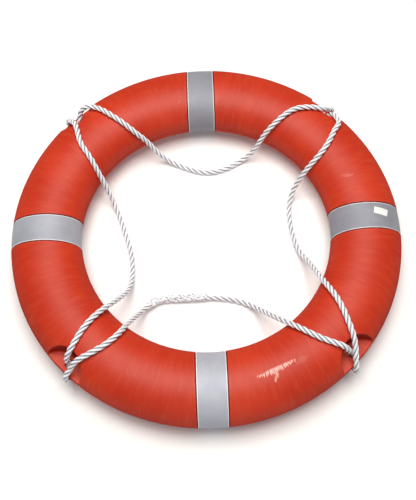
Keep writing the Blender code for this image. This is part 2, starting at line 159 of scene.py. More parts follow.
# The grab line's route, counterclockwise from the notch at 45 degrees: four loops
# over the front of the ring, and between them a hitch at each notch.
rope = {
    "diameter": 0.010,
    "lay": 0.040,
    "strandRadius": 0.00255,
    "strandOffset": 0.00245,
    # The spread of the painted shade in the grooves.
    "grooveDepth": 0.0052,
    "around": 56,
    "ringStep": 0.0020,
    "clearance": 0.0003,
    "pathPoints": 640,
    "loops": {
        45: [(0.218, 0.230, 0.1005), (0.200, 0.230, 0.103), (0.180, 0.227, 0.104),
             (0.145, 0.208, 0.0955), (0.127, 0.197, 0.0815), (0.111, 0.189, 0.053),
             (0.096, 0.182, 0.025), (0.076, 0.175, 0.009), (0.053, 0.163, 0.0055),
             (0.008, 0.152, 0.0055), (-0.039, 0.166, 0.0055), (-0.068, 0.179, 0.012),
             (-0.090, 0.187, 0.034), (-0.105, 0.194, 0.056), (-0.1225, 0.198, 0.080),
             (-0.152, 0.215, 0.0997), (-0.171, 0.228, 0.104), (-0.187, 0.240, 0.1035)],
        135: [(-0.233, 0.192, 0.104), (-0.225, 0.166, 0.103), (-0.213, 0.147, 0.098),
              (-0.203, 0.131, 0.0875), (-0.193, 0.116, 0.065), (-0.184, 0.103, 0.042),
              (-0.175, 0.087, 0.018), (-0.166, 0.066, 0.007), (-0.157, 0.038, 0.0055),
              (-0.141, -0.022, 0.0055), (-0.139, -0.062, 0.008), (-0.143, -0.094, 0.024),
              (-0.155, -0.122, 0.053), (-0.171, -0.145, 0.079), (-0.194, -0.172, 0.0987),
              (-0.215, -0.201, 0.1035)],
        225: [(-0.209, -0.241, 0.1005), (-0.191, -0.233, 0.1035), (-0.165, -0.216, 0.102),
              (-0.150, -0.199, 0.0935), (-0.140, -0.179, 0.074), (-0.130, -0.157, 0.046),
              (-0.117, -0.134, 0.019), (-0.097, -0.117, 0.0092), (-0.058, -0.111, 0.008),
              (-0.014, -0.111, 0.008), (0.025, -0.114, 0.006), (0.047, -0.118, 0.0055),
              (0.070, -0.127, 0.008), (0.091, -0.145, 0.026), (0.107, -0.164, 0.051),
              (0.124, -0.183, 0.0755), (0.149, -0.204, 0.0965), (0.188, -0.228, 0.1035)],
        315: [(0.229, -0.195, 0.104), (0.217, -0.158, 0.1025), (0.206, -0.129, 0.088),
              (0.195, -0.092, 0.0585), (0.185, -0.0565, 0.029), (0.173, -0.027, 0.011),
              (0.164, 0.012, 0.0055), (0.161, 0.048, 0.0055), (0.163, 0.073, 0.007),
              (0.170, 0.094, 0.023), (0.182, 0.106, 0.048), (0.197, 0.116, 0.074),
              (0.213, 0.127, 0.092), (0.238, 0.158, 0.104), (0.250, 0.180, 0.103)],
    },
    # Across the notch, outward from the outer circle and above the mid-plane.
    "hitchIn": {
        45: [(-0.044, -0.034, 0.050), (-0.032, -0.0265, 0.0480), (-0.0245, -0.0225, 0.0440),
             (-0.015, -0.020, 0.030), (-0.006, -0.018, 0.0175)],
        135: [(-0.034, -0.036, 0.0505), (-0.0245, -0.020, 0.0465), (-0.015, -0.0125, 0.0355),
              (-0.0055, -0.0135, 0.021)],
        225: [(-0.006, -0.045, 0.053), (-0.003, -0.033, 0.0505), (-0.002, -0.022, 0.040),
              (-0.0015, -0.0165, 0.025)],
        315: [(-0.0195, -0.042, 0.0525), (-0.016, -0.034, 0.0512), (-0.0125, -0.0265, 0.0445),
              (-0.0085, -0.0215, 0.031), (-0.0035, -0.018, 0.019)],
    },
    "hitchOut": {
        45: [(-0.0035, -0.005, 0.0205), (-0.003, -0.017, 0.0345), (-0.002, -0.029, 0.0478)],
        135: [(0.0105, -0.0065, 0.0245), (0.0145, -0.021, 0.0405), (0.018, -0.034, 0.0512)],
        225: [(0.014, -0.009, 0.025), (0.0165, -0.022, 0.0427)],
        315: [(-0.0125, -0.001, 0.022), (0.0, -0.0155, 0.0375), (0.011, -0.032, 0.0505)],
    },
    "edgeTurn": {45: -0.004, 135: 0.009, 225: 0.013, 315: -0.0165},
    "edgeSlack": {45: 0.0, 135: 0.001, 225: 0.0, 315: 0.002},
    "behindWeb": [(0.02, 0.002, 0.75), (0.2, 0.0085, 1.0), (0.62, 0.0125, 1.0)],
    "reachesEdge": 0.9,
}
# The splice: a stretch where three more strands are tucked across the three laid.
splice = {
    "middle": (-0.058, -0.111, 0.008),
    "length": 0.124,
    "ringStep": 0.0005,
    "taper": 0.10,
    "crossLay": 0.250,
    "rise": 0.0021,
    "thick": 0.0025,
    "wide": 0.0032,
    "overUnder": 0.0009,
    # The groove's painted shade in the splice: its spread and strength.
    "grooveDepth": 0.0020,
    "grooveShare": 0.95,
    "press": 0.0006,
    "thinnest": 0.0001,
    "tuckedFrom": 0.02,
}
# A notch and the web across it: distances from the ring's middle, and the wall's
# draft as the run for each metre of height.
notch = {
    "axis": 0.3645,
    "radius": 0.0428,
    "draft": 0.001 / 0.042,
    "webHalf": 0.007,
    "corner": 0.004,
    "cornerShare": 0.7,
    "eye": 0.339,
    "eyeRadius": 0.0075,
    "eyeFlare": 0.00125,
    "innerEyeRadius": 0.010,
}


# From across, outward and above at a notch to the ring's own axes.
def atNotch(degrees, spots):
    turn = math.radians(degrees)
    across, outward, above = np.array(spots).T
    radial = ring["outerRadius"] + outward
    x = radial * math.cos(turn) - across * math.sin(turn)
    y = radial * math.sin(turn) + across * math.cos(turn)
    return places(x, y, ring["middle"] + above)


# The line goes down through the eye, behind the web and up round its outer edge.
def hitchBack(turn, slack):
    gap = rope["clearance"]
    half = rope["diameter"] / 2
    inset = notch["eye"] - ring["outerRadius"]
    layOff = notch["webHalf"] + half + gap
    pastEdge = ring["beadHeight"] + half + gap + slack
    roundCorner = (half + 2 * gap) * math.sqrt(0.5)
    pastCorner = roundCorner - gap + slack
    behind = [(share * turn, outward + inset, -depth * (layOff + gap))
              for share, outward, depth in rope["behindWeb"]]
    return [(0.0, inset, layOff), (0.0, inset, 0.0), *behind,
            (rope["reachesEdge"] * turn, pastCorner, -notch["webHalf"] - roundCorner),
            (turn, pastEdge, 0.0),
            (turn, pastCorner, notch["webHalf"] + roundCorner)]


# The route's places all the way round: each hitch, then the loop that leaves it.
def ropeRoute():
    route = []
    for degrees, loop in rope["loops"].items():
        back = hitchBack(rope["edgeTurn"][degrees], rope["edgeSlack"][degrees])
        spots = rope["hitchIn"][degrees] + back + rope["hitchOut"][degrees]
        route += [atNotch(degrees, spots), np.array(loop)]
    return np.concatenate(route)


# A periodic cubic spline through the route, over the chords' running length:
# between two points it is the straight line plus the cubic of both bends.
def splineLoop(points, count=12001):
    chords = np.linalg.norm(np.roll(points, -1, axis=0) - points, axis=1)
    knots = np.concatenate(([0.0], np.cumsum(chords)))
    before = np.roll(chords, 1)
    slopes = (np.roll(points, -1, axis=0) - points) / chords[:, None]
    rows = np.arange(len(points))
    matrix = np.zeros((len(points), len(points)))
    matrix[rows, rows] = 2 * (before + chords)
    matrix[rows, (rows - 1) % len(points)] = before
    matrix[rows, (rows + 1) % len(points)] = chords
    bends = np.linalg.solve(matrix, 6 * (slopes - np.roll(slopes, 1, axis=0)))
    values = np.linspace(0.0, knots[-1], count)[:-1]
    index = np.clip(np.searchsorted(knots, values, side="right") - 1, 0, len(points) - 1)
    after = (index + 1) % len(points)
    chord = chords[index][:, None]
    right = (values - knots[index])[:, None]
    left = chord - right
    line = (bends[index] * left**3 + bends[after] * right**3) / (6 * chord)
    line += (points[index] / chord - bends[index] * chord / 6) * left
    return line + (points[after] / chord - bends[after] * chord / 6) * right


# Points at even or given lengths along a closed line of many points.
def alongLoop(line, lengths):
    closed = np.concatenate([line, line[:1]])
    travel = np.concatenate(([0.0], np.cumsum(np.linalg.norm(np.diff(closed, axis=0), axis=1))))
    wrapped = np.mod(lengths, travel[-1])
    return np.stack([np.interp(wrapped, travel, closed[:, axis]) for axis in range(3)], axis=-1)


# A closed line's length: the sum of the distances between its points.
def loopLength(line):
    return float(np.linalg.norm(np.roll(line, -1, axis=0) - line, axis=1).sum())


# Frames carried along a closed line without turning about it: each next frame is
# the last one less what of it lies along the line there.
def carriedFrames(points):
    ahead = np.roll(points, -1, axis=0) - np.roll(points, 1, axis=0)
    ahead /= np.linalg.norm(ahead, axis=1)[:, None]
    side = np.zeros_like(points)
    current = np.cross(ahead[0], (0.0, 0.0, 1.0))
    for number, direction in enumerate(ahead):
        current = current - direction * (current @ direction)
        current /= np.linalg.norm(current)
        side[number] = current
    current = current - ahead[0] * (current @ ahead[0])
    current /= np.linalg.norm(current)
    other = np.cross(ahead[0], side[0])
    slip = math.atan2(current @ other, current @ side[0])
    return side, np.cross(ahead, side), slip


# A strand of elliptic section seen from the rope's middle: how far out the ray at a
# turn leaves the ellipse, by the larger root of its quadratic. Past the ellipse's
# edge the root's share is taken off instead, so the strand falls away steeply.
def strandReach(turn, offset, thick, wide):
    squares = (np.cos(turn) / thick)**2 + (np.sin(turn) / wide)**2
    linear = offset * np.cos(turn) / thick**2
    inside = linear**2 - squares * ((offset / thick)**2 - 1.0)
    reach = (linear + np.sign(inside) * np.sqrt(np.abs(inside))) / squares
    return np.where(np.cos(turn) > 0, np.maximum(reach, 0.0), 0.0)


# How far out the outermost strand lies, and the next one, at each ring and turn:
# three strands laid right-handed, and in the splice three more that cross them
# left-handed, over one and under the next by a cosine of the crossing.
def strandTops(strand, crossing, inSplice):
    weave = splice["overUnder"] * np.cos(1.5 * crossing)
    thick = rope["strandRadius"] + inSplice * (splice["thick"] - rope["strandRadius"])
    wide = rope["strandRadius"] + inSplice * (splice["wide"] - rope["strandRadius"])
    laidOffset = rope["strandOffset"] + inSplice * (splice["rise"] - weave)
    tuckedOffset = inSplice * (rope["strandOffset"] + splice["rise"] + weave)
    tuckedThick = splice["thinnest"] + inSplice * splice["thick"]
    tuckedWide = splice["thinnest"] + inSplice * splice["wide"]
    first = second = np.zeros((len(crossing), len(strand)))
    for number in range(3):
        turn = strand[None, :] - 2 * math.pi * number / 3
        laid = strandReach(turn, laidOffset, thick, wide)
        tucked = strandReach(turn - crossing, tuckedOffset, tuckedThick, tuckedWide)
        for reach in (laid, np.where(inSplice > splice["tuckedFrom"], tucked, 0.0)):
            second = np.maximum(second, np.minimum(first, reach))
            first = np.maximum(first, reach)
    return first, second


# The rope's skin stands off its route by the outermost strand's reach. A groove is
# where the two outermost strands lie equally far out; in the splice it is rounded
# by the square of how far their difference falls short of the press.
def makeRope():
    route = splineLoop(ropeRoute())
    length = loopLength(route)
    start = int(np.argmin(np.linalg.norm(route - atNotch(225, [(0.0, -0.016, 0.0)]), axis=1)))
    route = np.roll(route, -start, axis=0)
    travel = np.concatenate(([0.0], np.cumsum(np.linalg.norm(np.diff(route, axis=0), axis=1))))
    middle = travel[np.argmin(np.linalg.norm(route - np.array(splice["middle"]), axis=1))]
    low, high = middle - splice["length"] / 2, middle + splice["length"] / 2
    stretches = ((0.0, low, rope["ringStep"]), (low, high, splice["ringStep"]),
                 (high, length, rope["ringStep"]))
    lengths = np.concatenate([np.linspace(first, last, round((last - first) / step), endpoint=False)
                              for first, last, step in stretches])
    line = alongLoop(route, lengths)
    side, over, slip = carriedFrames(line)
    turns = round(length / rope["lay"])
    lay = 2 * math.pi * turns * lengths / length - slip * lengths / length
    share = (lengths - low) / splice["length"]
    inSplice = smoothStep(np.minimum(share, 1.0 - share) / splice["taper"])[:, None]
    strand = np.linspace(0.0, 2 * math.pi, rope["around"] + 1) + math.pi / 3  # starts in a groove
    crossing = (-2 * math.pi * (lengths - low) / splice["crossLay"] - lay)[:, None]
    first, second = strandTops(strand, crossing, inSplice)
    pressed = np.maximum(splice["press"] * inSplice - (first - second), 0.0)
    reach = first + pressed**2 / (4 * splice["press"])
    world = strand[None, :] + lay[:, None]
    out = np.cos(world)[..., None] * side[:, None, :] + np.sin(world)[..., None] * over[:, None, :]
    points = line[:, None, :] + out * reach[..., None]
    # The groove's share is painted shade between the strands, weaker in the splice.
    deep = rope["grooveDepth"] + inSplice * (splice["grooveDepth"] - rope["grooveDepth"])
    groove = 1.0 - smoothStep((first - second) / deep)
    groove *= 1.0 + inSplice * (splice["grooveShare"] - 1.0)
    uv = np.stack(np.broadcast_arrays(strand[None, :] * 3 / (2 * math.pi), lengths[:, None]), axis=-1)
    endUv = np.stack([uv[0, :, 0], np.full(len(strand), length)], axis=-1)
    closing = {"points": points[[-1, 0]], "wearShadeAndGlint": groove[[-1, 0]], "uv": np.stack([uv[-1], endUv])}
    sheets = [{"points": points, "wearShadeAndGlint": groove, "uv": uv}, closing]
    piece = makePiece("grab_line", sheets)
    ropeNodes = [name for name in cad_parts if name.startswith(("grab_line", "hitch_", "rope_"))]
    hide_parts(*ropeNodes)
    print(f"grab line laid, {length:.3f} m")
    return piece


grabLine = makeRope()


# Shell: an outer skin and an inner one on the same grid, joined at the seams.
shell = {
    "landColumns": [0.0, 0.0065, 0.013, 0.0195, 0.0245, 0.0249, 0.0256, 0.02585, 0.02605,
                    0.0262, 0.0265, 0.0270, 0.0276, 0.0285, 0.0315],
    # Beside each band: painted shade down in the gap by the land's step, and a painted highlight on the
    # shell just past it.
    "landShadeAndGlint": ((0.0246, 0.0249, 0.0270, 0.0276, 0.0285, 0.0315),
                 (0.0, -1.0, -1.0, 0.0, 0.7, 0.0)),
    "landFoot": 0.0257,
    "landTop": 0.0263,
    "columnsToNotch": 13,
    "notchEdge": 0.1693,
    "blockColumns": 20,
    "blockRows": 18,
    "blockTop": math.radians(75),
    "topRows": 26,
    "seamHeights": [0.00015, 0.0004, 0.00065, 0.0009, 0.0012, 0.0018],
    # Round the notch's lip: rubbed pale wear, then painted shade at the wall's top. Down the wall: painted
    # shade, fading out in its foot.
    "lipWearAndShade": [0.15, 0.4, 0.5, 0.4, 0.1, -0.3],
    "wallShade": ((4, 8), (-0.85, 0.0)),
    "eyeWear": 0.6,
    "outer": {"wide": ring["halfWidth"], "high": ring["halfThickness"], "bead": ring["beadHeight"],
              "land": 0.0012, "lip": 0.0015, "least": 0.0006, "notchRadius": notch["radius"],
              "floor": notch["webHalf"], "corner": notch["corner"], "eye": notch["eyeRadius"],
              "flare": notch["eyeFlare"]},
    "inner": {"wide": ring["halfWidth"] - ring["wall"], "high": ring["halfThickness"] - ring["wall"],
              "bead": 0.0, "land": 0.0, "lip": 0.0003, "least": 0.0002,
              "notchRadius": notch["radius"] + ring["wall"], "floor": notch["webHalf"] - ring["wall"],
              "corner": notch["corner"] + ring["wall"], "eye": notch["innerEyeRadius"], "flare": 0.0},
}
# The block of cells that a plug's recess takes the place of is given in degrees
# round the ring, at a row just past the notches' rows, and round the section.
plug = {
    "recessRadius": 0.0128,
    "recessFloor": 0.0466,
    "holeRadius": 0.0088,
    "holeRound": 0.0002,
    "bossTop": 0.0436,
    "bossRadius": 0.0158,
    "lip": 0.0004,
    "columnDegrees": (61.5, 73.5),
    "rowDegrees": (67.0, 113.0),
    "rowPastNotch": 4,
    "anglesDegrees": {"fill_plug": 67.5, "vent_plug": 247.5},
    "flange": 0.0125,
    "stem": 0.0085,
    "dishRadius": 0.0058,
    "face": 0.0006,
    "seat": 0.0021,
    "tip": 0.0111,
    "stepsRound": 64,
}


# The ring's section is an ellipse: radius plus half width times the cosine of the
# turn, and half thickness times its sine above or below the mid-plane. The weld
# bead stands out at the seam by a raised cosine.
def onSection(skin, around, turn, sink=0.0, side=1):
    high = (skin["high"] - sink) * np.sin(turn)
    nearSeam = np.clip(high / ring["beadHalfWidth"], 0.0, 1.0)
    bead = skin["bead"] * (0.5 + 0.5 * np.cos(math.pi * nearSeam))
    radius = ring["radius"] + (skin["wide"] - sink + bead) * np.cos(turn)
    return places(radius * np.cos(around), radius * np.sin(around), ring["middle"] + side * high)


# Turns of the grid's rows, from the outer seam over the top to the inner seam.
def rowTurns(skin):
    low = np.arcsin(np.array(shell["seamHeights"]) / skin["high"])
    block = np.linspace(low[-1], shell["blockTop"], shell["blockRows"] + 1)[1:]
    top = np.linspace(shell["blockTop"], math.pi - low[-1], shell["topRows"] + 1)[1:]
    return np.concatenate([low, block, top, math.pi - low[-2::-1]])


# Columns of one quarter, from a band's middle to the next: beside a band they keep
# their distance from its middle plane, beside the notch their angle round the ring.
def quarterGrid(skin):
    turns = rowTurns(skin)
    lands = shell["landColumns"]
    further = np.linspace(lands[-1], shell["notchEdge"], shell["columnsToNotch"] + 1)[1:]
    distance = np.concatenate([lands, further])
    radius = ring["radius"] + skin["wide"] * np.cos(turns)
    free = np.arcsin(distance[:, None] / radius[None, :])
    fixed = np.arcsin(distance / ring["radius"])[:, None]
    weight = np.clip((distance - lands[-1]) / (shell["notchEdge"] - lands[-1]), 0.0, 1.0)[:, None]
    left = free + weight * (fixed - free)
    climb = (distance - shell["landFoot"]) / (shell["landTop"] - shell["landFoot"])
    sink = skin["land"] * (1.0 - smoothStep(climb))
    edge = left[-1, 0]
    block = np.linspace(edge, math.pi / 2 - edge, shell["blockColumns"] + 1)[1:-1, None]
    arounds = np.concatenate([left, np.broadcast_to(block, (len(block), len(turns))),
                              math.pi / 2 - left[::-1]])
    sinks = np.concatenate([sink, np.zeros(len(block)), sink[::-1]])[:, None]
    # Painted shade in the gap beside the band and a painted highlight past it, by distance from the band's
    # middle.
    shadeAndGlint = np.interp(distance, *shell["landShadeAndGlint"])
    wearShadeAndGlint = np.concatenate([shadeAndGlint, np.zeros(len(block)), shadeAndGlint[::-1]])[:, None]
    others = (np.broadcast_to(values, arounds.shape) for values in (turns[None, :], sinks, wearShadeAndGlint))
    return arounds, *others


# A rectangle's rim in a grid, once round: low side, far side, high side, near side.
def rimOf(values, columns, rows):
    c0, c1 = columns
    r0, r1 = rows
    return np.concatenate([values[c0:c1, r0], values[c1, r0:r1], values[c1:c0:-1, r1],
                           values[c0, r1:r0:-1], values[c0:c0 + 1, r0]])


# The notch's drafted wall: its radius at a height above the mid-plane.
def wallRadius(skin, height):
    return skin["notchRadius"] - notch["draft"] * (ring["halfThickness"] - height)


# The notch's rim, once round: along the web's outer edge, then back round the wall.
# It is where the drafted cylinder meets the ring's section. Plan places are
# outward and across, from the ring's middle.
def notchRim(skin):
    wide, high = skin["wide"], skin["high"]
    edge = ring["radius"] + wide * math.sqrt(1 - (skin["floor"] / high)**2)
    low = wallRadius(skin, skin["floor"])
    most = math.acos((notch["axis"]**2 + low**2 - edge**2) / (2 * notch["axis"] * low))
    turn = np.linspace(most, -most, 2 * shell["blockRows"] + shell["blockColumns"] + 1)
    height = np.full(len(turn), ring["halfThickness"])
    for _ in range(8):
        radius = wallRadius(skin, height)
        outward = notch["axis"] - radius * np.cos(turn)
        across = radius * np.sin(turn)
        offset = np.clip((np.hypot(outward, across) - ring["radius"]) / wide, -1.0, 1.0)
        height = np.maximum(high * np.sqrt(1 - offset**2), skin["floor"])
    corner = math.atan2(across[0], outward[0])
    along = np.linspace(-corner, corner, shell["blockColumns"] + 1)[:-1]
    outward = np.concatenate([edge * np.cos(along), outward])
    across = np.concatenate([edge * np.sin(along), across])
    height = np.concatenate([np.full(len(along), skin["floor"]), height])
    onWall = np.concatenate([np.zeros(len(along)), np.ones(len(turn))])
    onWall[[len(along), -1]] = 0.0
    return np.stack([outward, across], axis=-1), height, onWall > 0.5


# The round foot of the wall, smaller where the wall is low.
def footRadius(skin, drop):
    return np.minimum(skin["corner"], notch["cornerShare"] * drop)


# Down from the rim by a travelled length: the drafted wall, its round foot, then
# the web's flat face towards the eye.
def downNotch(skin, rim, height, onWall, towards, travel):
    drop = height - skin["floor"]
    corner = footRadius(skin, drop)
    straight = drop - corner
    turn = np.clip((travel - straight) / np.maximum(corner, 1e-9), 0.0, math.pi / 2)
    level = height - np.minimum(travel, straight) - corner * np.sin(turn)
    onFloor = np.maximum(travel - straight - corner * math.pi / 2, 0.0)
    radius = wallRadius(skin, level) - corner * (1 - np.cos(turn))
    toAxis = rim - np.array([notch["axis"], 0.0])
    along = (towards * toAxis).sum(axis=-1)
    root = np.maximum(along**2 - (toAxis**2).sum(axis=-1) + radius**2, 0.0)
    step = np.where(onWall, -along - np.sqrt(root), 0.0) + onFloor
    return rim + towards * step[..., None], level


# Plan places at the notch, outward and across, and heights, to the quarter's axes.
def fromNotch(plan, level, side):
    half = math.sqrt(0.5)
    x = (plan[..., 0] - plan[..., 1]) * half
    y = (plan[..., 0] + plan[..., 1]) * half
    return places(x, y, ring["middle"] + side * level)


# A curve of three control places at a share: the start's part, twice the middle's
# and the end's, by the squares of what is left and what is passed.
def rounded(first, middle, last, shares):
    share = np.array(shares)[:, None, None]
    return (1 - share)**2 * first + 2 * share * (1 - share) * middle + share**2 * last


# All the rows of one notch, from the grid's rectangle in to the eye's bore.
def notchSheet(skin, grid, columns, rows, side):
    arounds, turns = grid[:2]
    rectangle = rimOf(arounds, columns, rows), rimOf(turns, columns, rows)
    rim, height, onWall = notchRim(skin)
    rimAround = math.pi / 4 + np.arctan2(rim[:, 1], rim[:, 0])
    rimTurn = np.arctan2(height / skin["high"],
                         (np.hypot(rim[:, 0], rim[:, 1]) - ring["radius"]) / skin["wide"])
    corner = onSection(skin, rimAround, rimTurn, side=side)
    gap = np.linalg.norm(onSection(skin, *rectangle, side=side) - corner, axis=1)
    hold = 1 - (skin["lip"] + skin["least"]) / gap
    evenly = np.linspace(0, 1, 5)[:, None]
    shares = np.concatenate([evenly * hold, (1 - skin["lip"] / gap)[None, :]])
    outside = onSection(skin, rectangle[0] + shares * (rimAround - rectangle[0]),
                        rectangle[1] + shares * (rimTurn - rectangle[1]), side=side)
    eye = np.array([notch["eye"], 0.0])
    towards = eye - rim
    towards /= np.linalg.norm(towards, axis=1)[:, None]
    drop = height - skin["floor"]
    foot = footRadius(skin, drop)
    wallRun = np.maximum(drop - foot - skin["lip"], skin["least"])
    footRun = np.maximum(foot * math.pi / 2, 2 * skin["least"])
    travel = skin["lip"] + np.concatenate([
        evenly * wallRun,
        wallRun + np.linspace(0, 1, 7)[1:, None] * footRun,
        wallRun + footRun + skin["least"] + np.zeros((1, len(rim)))])
    plan, level = downNotch(skin, rim, height, onWall, towards, travel)
    wall = fromNotch(plan, level, side)
    lip = rounded(outside[-1], corner, wall[0], (0.2, 0.4, 0.6, 0.8))
    opening = skin["eye"] + skin["flare"]
    away = np.linalg.norm(plan[-1] - eye, axis=1)
    reach = np.concatenate([away + evenly[1:] * (opening + skin["least"] - away),
                            np.full((1, len(rim)), opening)])
    flat = fromNotch(eye - towards * reach[..., None], skin["floor"], side)
    bend = np.linspace(0, math.pi / 2, 6)[1:, None]
    mouth = fromNotch(eye - towards * (opening - skin["flare"] * np.sin(bend))[..., None],
                      skin["floor"] - skin["flare"] * (1 - np.cos(bend)), side)
    boreHeights = np.array([0.5 * skin["floor"], ring["seamGap"] / 2])[:, None]
    boreEdge = np.broadcast_to((eye - towards * skin["eye"])[None], (2, len(rim), 2))
    bore = fromNotch(boreEdge, boreHeights, side)
    points = np.concatenate([outside, lip, wall, flat, mouth, bore])
    wearShadeAndGlint = np.zeros(points.shape[:2])
    first = len(outside)
    # The lip is rubbed pale and its last row has painted shade; the wall gets painted shade; the eye's
    # mouth is rubbed pale.
    wearShadeAndGlint[first - 1:first + len(lip) + 1] = np.array(shell["lipWearAndShade"])[:, None]
    foot = first + len(lip) + len(wall)
    stained = np.interp(np.arange(1, len(wall)), *shell["wallShade"])
    wearShadeAndGlint[foot - len(wall) + 1:foot] = stained[:, None] * onWall
    last = len(points) - len(bore) - len(mouth)
    wearShadeAndGlint[last - 1:last + len(mouth)] = shell["eyeWear"]
    return points, wearShadeAndGlint


# The recess of a plug, from the outer skin's rectangle down to the inner skin's.
# Outside it the skin's height is the section's: half the thickness times the root
# of one less the squared share of the half width.
def plugSheet(grids, columns, rows, degrees):
    place = math.radians(degrees)
    centre = ring["radius"] * np.array([math.cos(place), math.sin(place)])
    sheets = []
    for layer, radius in (("outer", plug["recessRadius"]), ("inner", plug["bossRadius"])):
        skin = shell[layer]
        arounds, turns = grids[layer][:2]
        rim = onSection(skin, rimOf(arounds, columns, rows), rimOf(turns, columns, rows), side=-1)
        away = rim[:, :2] - centre
        reach = np.linalg.norm(away, axis=1)
        towards = away / reach[:, None]
        radii = reach + np.linspace(0, 1, 4)[:, None] * (radius + plug["lip"] - reach)
        plan = centre + towards * radii[..., None]
        offset = np.linalg.norm(plan, axis=-1) - ring["radius"]
        share = offset / skin["wide"]
        level = skin["high"] * np.sqrt(1 - share**2)
        outside = np.concatenate([plan, (ring["middle"] - level)[..., None]], axis=-1)
        sheets.append((outside, towards))
    (outer, towards), (inner, _) = sheets
    edge = np.concatenate([centre + towards * plug["recessRadius"], outer[-1, :, 2:]], axis=-1)
    below = edge + (0.0, 0.0, plug["lip"])
    lip = rounded(outer[-1], edge, below, (0.25, 0.5, 0.75))
    floor, bossTop, edgeRound = plug["recessFloor"], plug["bossTop"], plug["holeRound"]
    rings = []
    for radius, height in ((plug["recessRadius"], floor), (plug["holeRadius"] + edgeRound, floor),
                           (plug["holeRadius"], floor - edgeRound), (plug["holeRadius"], bossTop),
                           (plug["bossRadius"], bossTop)):
        flat = np.full((len(towards), 1), ring["middle"] - height)
        rings.append(np.concatenate([centre + towards * radius, flat], axis=-1))
    return np.concatenate([outer, lip, below[None], np.stack(rings), inner[::-1]])


# A half shell: one quarter's grids with a notch and perhaps a plug's recess set
# into them, turned four times about the axis. Side is 1 for the front, -1 for the rear.
def makeShell(name, side, plugQuarters):
    sheets = []
    grids = {layer: quarterGrid(shell[layer]) for layer in ("outer", "inner")}
    columnCount, rowCount = grids["outer"][0].shape
    sideColumns = len(shell["landColumns"]) + shell["columnsToNotch"] - 1
    columns = (sideColumns, sideColumns + shell["blockColumns"])
    firstRow = len(shell["seamHeights"]) - 1
    rows = (firstRow, firstRow + shell["blockRows"])
    columnTurns = np.degrees(grids["outer"][0][:, rows[1] + plug["rowPastNotch"]])
    sectionTurns = np.degrees(grids["outer"][1][0])
    plugColumns = [int(np.argmin(abs(columnTurns - degrees))) for degrees in plug["columnDegrees"]]
    plugRows = [int(np.argmin(abs(sectionTurns - degrees))) for degrees in plug["rowDegrees"]]
    plugDegrees = plug["anglesDegrees"]["fill_plug"]
    for quarter in range(4):
        turned = []
        edges = []
        for layer, grid in grids.items():
            skin, share = shell[layer], float(layer == "outer")
            arounds, turns, sinks, shadeAndGlint = grid
            points = onSection(skin, arounds, turns, sinks, side)
            keep = np.ones((columnCount - 1, rowCount - 1), bool)
            keep[columns[0]:columns[1], rows[0]:rows[1]] = False
            if quarter in plugQuarters:
                keep[plugColumns[0]:plugColumns[1], plugRows[0]:plugRows[1]] = False
            # Marks, painted shade and highlight with them, go on the outer skin only.
            turned.append({"points": points, "keep": keep, "wearShadeAndGlint": shadeAndGlint * share})
            hollow, wearShadeAndGlint = notchSheet(skin, grid, columns, rows, side)
            turned.append({"points": hollow, "wearShadeAndGlint": wearShadeAndGlint * share})
            edges.append((points[:, 0], points[:, -1], hollow[-1]))
        turned += [{"points": np.stack(pair)} for pair in zip(*edges)]
        if quarter in plugQuarters:
            turned.append({"points": plugSheet(grids, plugColumns, plugRows, plugDegrees)})
        quarterTurn = np.array(Matrix.Rotation(quarter * math.pi / 2, 3, "Z")).T
        for sheet in turned:
            sheets.append({**sheet, "points": sheet["points"] @ quarterTurn})
    piece = makePiece(name + "_skin", sheets)
    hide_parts(name)
    return piece


frontShell = makeShell("front_shell", 1, ())
rearShell = makeShell("rear_shell", -1, (0, 2))


# Bands: a strip round the section that keeps to its band's width, by the
# arcsine of the distance from the band's middle over the radius there.
band = {
    "halfWidth": 0.025,
    "outerInset": 0.0004,
    "innerInset": 0.0009,
    "edgeRound": 0.00018,
    "columns": (0.0235, 0.012),
    "stepsRound": 168,
    "anglesDegrees": {"right_band": 0, "top_band": 90, "left_band": 180, "bottom_band": 270},
    # Tones are painted light and shade: lit and shaded copies of one sheeting, the bottom band lightest.
    "shadeTones": {"right_band": 0.58, "top_band": 0.58, "left_band": 0.77, "bottom_band": 0.93},
}


def onBand(degrees, across, turn, inset):
    radius = ring["radius"] + (ring["halfWidth"] - inset) * np.cos(turn)
    around = math.radians(degrees) + np.arcsin(across / radius)
    height = ring["middle"] + (ring["halfThickness"] - inset) * np.sin(turn)
    return places(radius * np.cos(around), radius * np.sin(around), height)


def makeBand(name, degrees):
    half, edge = band["halfWidth"], band["edgeRound"]
    top, under = band["outerInset"], band["innerInset"]
    outer, inner = band["columns"]
    left = [(-half, under), (-half, top + edge), (-half + 0.3 * edge, top + 0.3 * edge),
            (-half + edge, top), (-outer, top), (-inner, top)]
    right = [(-across, inset) for across, inset in reversed(left)]
    outline = np.array([*left, (0.0, top), *right, (0.0, under), (-half, under)])
    turn = np.linspace(0.0, 2 * math.pi, band["stepsRound"] + 1)
    points = onBand(degrees, outline[None, :, 0], turn[:, None], outline[None, :, 1])
    wearShadeAndGlint = np.broadcast_to(abs(outline[None, :, 0]) / half, points.shape[:2])
    uv = np.stack(np.broadcast_arrays(outline[None, :, 0], turn[:, None] * ring["sectionRadius"]), axis=-1)
    sheet = {"points": points, "wearShadeAndGlint": wearShadeAndGlint, "uv": uv}
    piece = makePiece(name + "_sheeting", [sheet])
    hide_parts(name)
    return piece


bands = [makeBand(name, degrees) for name, degrees in band["anglesDegrees"].items()]


# Label: a blank sticker that follows the right band, from its four corners there,
# each the distance across the band and the turn round the section.
label = {
    "corners": [(0.0164, 1.392), (0.0116, 0.948), (-0.0021, 1.037), (0.0037, 1.443)],
    "lift": 0.00012,
    "sink": 0.00002,
    "steps": 12,
}


